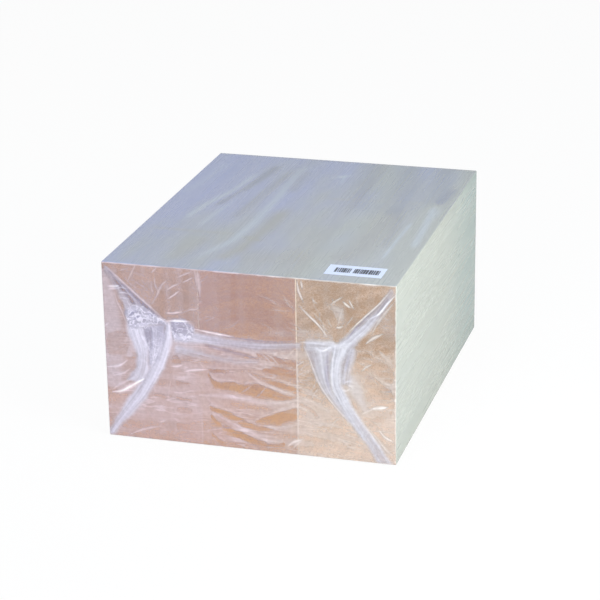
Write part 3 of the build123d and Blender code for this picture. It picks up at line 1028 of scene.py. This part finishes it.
def end_film_paint():
    """Film over an end: clear where it lies on the wood, milky where it stands off, white where gathered."""
    paint = Paint("film_ends")
    flow = paint.attribute("flow", "Vector")
    gathered = paint.attribute("gathered")
    knotted = paint.attribute("knotted")
    place = paint.place()
    across, up = paint.split(place)[::2]
    threads = paint.noise(flow, (26, 800, 10))
    crumple = paint.noise(place, (300, 300, 300), 3)
    scribble = paint.math("ABSOLUTE", paint.less(paint.noise(place, (200, 200, 200), 1, 0.9), 0.5))
    net = paint.ramp(scribble, 0.01, 0.055, 1.0, 0.0)
    bends = paint.math("ABSOLUTE", paint.less(paint.noise(flow, (22, 130, 10), 2, 0.3), 0.5))
    patches = paint.ramp(paint.noise(place, (45, 45, 45), 1), 0.40, 0.65, 0.0, 0.26)
    wrinkles = paint.times(paint.ramp(bends, 0.005, 0.04, 1.0, 0.0), patches)
    below_seam = paint.ramp(up, 0.55 * pack_height, 0.68 * pack_height, 1.0, 0.25)
    wrinkles = paint.times(wrinkles, below_seam)
    detail = paint.times(paint.less(threads, 0.5), paint.ramp(gathered, 0.0, 1.0, 0.2, 0.65))
    white = paint.add(paint.attribute("white"), detail, 0.6)
    white = paint.add(white, paint.less(crumple, 0.5), 0.26)
    white = paint.add(white, wrinkles, paint.ramp(gathered, 0.0, 0.5, 1.0, 0.0))
    # Knots: painted highlights along the lines of the net and painted shade between them
    white = paint.add(white, knotted, paint.ramp(net, 0.0, 1.0, -0.04, 0.16))
    shade = paint.add(paint.attribute("shade"), detail, -0.6)
    shade = paint.add(shade, knotted, paint.ramp(net, 0.0, 1.0, 0.12, -0.5))
    height = paint.add(crumple, paint.times(threads, gathered), 2.0)
    height = paint.add(height, paint.times(net, knotted), 0.5)
    paint.bump(height, end_film_depth, 0.4)
    to_right = paint.ramp(across, -0.1 * pack_width, 0.3 * pack_width)
    veil_colour = paint.mix(to_right, veil_white_left, veil_white_right)
    gather_colour = paint.mix(to_right, gather_white_left, gather_white_right)
    colour = paint.mix(gathered, veil_colour, gather_colour)
    colour = paint.mix(paint.math("MAXIMUM", shade, 0.0, clamp=True), colour, film_shade)
    return paint.finish(
        # Painted glint where the share of white passes 0.95
        Base_Color=paint.mix(paint.ramp(paint.attribute("white"), 0.95, 1.10), colour, film_glint),
        Alpha=paint.math("MAXIMUM", white, 0.02, clamp=True),
        Roughness=paint.ramp(crumple, 0.3, 0.7, 0.18, 0.32),
        Specular_IOR_Level=0.5,
    )


def sleeve_film_paint():
    """Film over the long faces: an even veil with soft streaks, a painted blue-grey reflection on top, bluer
    or greener in places, and painted light on the sides, darker towards the back.
    """
    paint = Paint("film_sleeve")
    place = paint.place()
    across, along = paint.split(place)[:2]
    streaks = paint.noise(place, (50, 2.5, 50))
    fine = paint.noise(place, (220, 8, 220))
    # Painted reflection on top: bluer to the left and back, greyer to the right and front
    reflection_tint = paint.add(across, along, -0.25)
    reflection_tint = paint.add(reflection_tint, paint.less(paint.noise(place, (20, 6, 20)), 0.5), 0.5)
    veil = paint.add(paint.attribute("white"), paint.less(streaks, 0.5), 0.20)
    veil = paint.add(veil, paint.less(fine, 0.5), 0.02, clamp=True)
    shade = paint.attribute("shade")
    top_colour = paint.mix(paint.ramp(reflection_tint, -0.12, 0.12), top_reflection_blue, top_reflection_grey)
    top_colour = paint.mix(paint.attribute("green"), top_colour, top_green)
    # Painted shade and painted sheen from the streaks on top
    top_colour = paint.mix(paint.ramp(shade, 0.0, 1.0), top_colour, top_shade)
    top_colour = paint.mix(paint.ramp(shade, -1.0, 0.0, 1.0, 0.0), top_colour, top_sheen)
    # Painted light on the sides, falling off towards the back
    side_colour = paint.mix(paint.ramp(along, 0.0, 0.5 * pack_length), side_lit_green, side_far_shade)
    on_top = paint.ramp(paint.split(paint.place("Normal"))[2], 0.4, 0.8)
    paint.bump(streaks, sleeve_film_depth, 0.3)
    return paint.finish(
        Base_Color=paint.mix(on_top, side_colour, top_colour),
        Alpha=veil,
        Roughness=paint.ramp(fine, 0.3, 0.7, 0.22, 0.34),
        Specular_IOR_Level=0.5,
    )


def add_object(name, data):
    """A new object in the scene."""
    made = bpy.data.objects.new(name, data)
    bpy.context.scene.collection.objects.link(made)
    return made


film = add_object("film", FilmMesh().made())
film.data.materials.append(end_film_paint())
film.data.materials.append(sleeve_film_paint())
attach(film, "root")
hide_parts("shrink_film")

# Label
bar_group_shares = ((0.14, 0.44), (0.47, 0.93))
bar_row_shares = (0.28, 0.72)
bar_widths = (0.8 * mm, 1.2 * mm, 1.8 * mm)
bar_gaps = (0.3 * mm, 0.45 * mm, 0.6 * mm)
ink_height = 0.03 * mm
paper_depth = 0.02 * mm
ink_depth = 0.01 * mm


def label_paper():
    """Matt white paper with a faint fibre texture."""
    paint = Paint("label_paper")
    fibres = paint.noise(paint.place(), (900, 700, 900), 3)
    paint.bump(fibres, paper_depth, 0.5)
    return paint.finish(
        Base_Color=paint.mix(fibres, srgb(209, 218, 243), srgb(224, 233, 254)),
        Roughness=paint.ramp(fibres, 0.3, 0.7, 0.5, 0.65),
    )


def label_ink():
    """Dark print, a little uneven."""
    paint = Paint("label_ink")
    wear = paint.noise(paint.place(), (1200, 1200, 1200))
    paint.bump(wear, ink_depth, 0.3)
    return paint.finish(
        Base_Color=paint.mix(wear, srgb(22, 28, 44), srgb(44, 52, 72)),
        Roughness=paint.ramp(wear, 0.3, 0.7, 0.4, 0.6),
    )


def label_bars():
    """Plain upright bars of uneven width in one row, which stand for print and say nothing."""
    width, depth = label_high.x - label_low.x, label_high.y - label_low.y
    draw = np.random.default_rng(5)
    vertices, faces = [], []
    front, back = (label_low.y + share * depth for share in bar_row_shares)
    for group in bar_group_shares:
        x, stop = (label_low.x + share * width for share in group)
        bar = draw.choice(bar_widths)
        while x + bar < stop:
            first = len(vertices)
            for z in (label_high.z, label_high.z + ink_height):
                vertices += [(x, front, z), (x + bar, front, z), (x + bar, back, z), (x, back, z)]
            faces += [(first + 3, first + 2, first + 1, first), (first + 4, first + 5, first + 6, first + 7)]
            for side in range(4):
                after = (side + 1) % 4
                faces.append((first + side, first + after, first + after + 4, first + side + 4))
            x += bar + draw.choice(bar_gaps)
            bar = draw.choice(bar_widths)
    mesh = bpy.data.meshes.new("label_bars")
    mesh.from_pydata(vertices, [], faces)
    return mesh


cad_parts["label"].data.materials.clear()
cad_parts["label"].data.materials.append(label_paper())
bars = add_object("label_bars", label_bars())
bars.data.materials.append(label_ink())
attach(bars, "root")

# Floor, background and light
floor_half = 12.0
floor_drop = 0.3 * mm
floor_white_share = 0.94
floor_colour = (0.92, 0.92, 0.93, 1.0)
background_colour = (1.0, 1.0, 1.0, 1.0)
ambient = 0.36
lamps = (
    # name, place, size, watts, colour
    ("key", (0.75, -0.45, 0.45), 0.5, 5.8, (1.0, 1.0, 0.96)),
    ("front", (-0.5, -2.2, 1.0), 1.2, 15.0, (1.0, 0.98, 0.99)),
    ("overhead", (-0.2, -0.1, 1.9), 1.4, 14.0, (0.72, 0.87, 1.0)),
)


def seen_rays(paint):
    """1 for rays that show a surface as seen directly, mirrored or through clear film, and 0 for light."""
    path = paint.node("ShaderNodeLightPath").outputs
    total = path["Is Camera Ray"]
    for name in ("Is Glossy Ray", "Is Transmission Ray"):
        total = paint.math("MAXIMUM", total, path[name])
    return total


def floor():
    """A plain white floor, nearly even to the camera, that still takes a soft shadow."""
    mesh = bpy.data.meshes.new("floor")
    corners = [(-1, -1), (1, -1), (1, 1), (-1, 1)]
    mesh.from_pydata([(x * floor_half, y * floor_half, -floor_drop) for x, y in corners], [], [(0, 1, 2, 3)])
    plane = add_object("floor", mesh)
    paint = Paint("floor")
    paint.tree.nodes.remove(paint.shader)
    diffuse = paint.node("ShaderNodeBsdfDiffuse", (floor_colour,)).outputs[0]
    glow = paint.node("ShaderNodeEmission").outputs[0]
    share = paint.times(seen_rays(paint), floor_white_share)
    mixed = paint.node("ShaderNodeMixShader", (share, diffuse, glow)).outputs[0]
    paint.feed(paint.tree.nodes["Material Output"].inputs["Surface"], mixed)
    plane.data.materials.append(paint.owner)


def background():
    """White where it is seen, and an even soft light otherwise."""
    paint = Paint("studio", "worlds", "Background")
    strength = paint.node("ShaderNodeMapRange", (seen_rays(paint), 0.0, 1.0, ambient, 1.0)).outputs[0]
    bpy.context.scene.world = paint.finish(Color=background_colour, Strength=strength)


def lights():
    """Soft square lamps aimed at the middle of the block."""
    aim = (cad_low + cad_high) / 2
    for name, place, size, watts, colour in lamps:
        lamp = bpy.data.lights.new(name, "AREA")
        lamp.size = size
        lamp.energy = watts
        lamp.color = colour
        holder = add_object(name, lamp)
        holder.location = place
        holder.rotation_euler = (aim - Vector(place)).to_track_quat("-Z", "Y").to_euler()


def camera():
    """The photo's viewpoint, with its slight roll."""
    data = bpy.data.cameras.new("camera")
    data.sensor_width = camera_sensor
    data.lens = camera_lens
    eye = add_object("camera", data)
    aim = (Vector(camera_aim) - Vector(camera_place)).to_track_quat("-Z", "Y").to_matrix()
    roll = Matrix.Rotation(math.radians(camera_roll_deg), 3, "Z")
    eye.matrix_world = Matrix.Translation(camera_place) @ (aim @ roll).to_4x4()
    bpy.context.scene.camera = eye


floor()
background()
lights()
camera()
bpy.context.scene.view_settings.view_transform = "Standard"
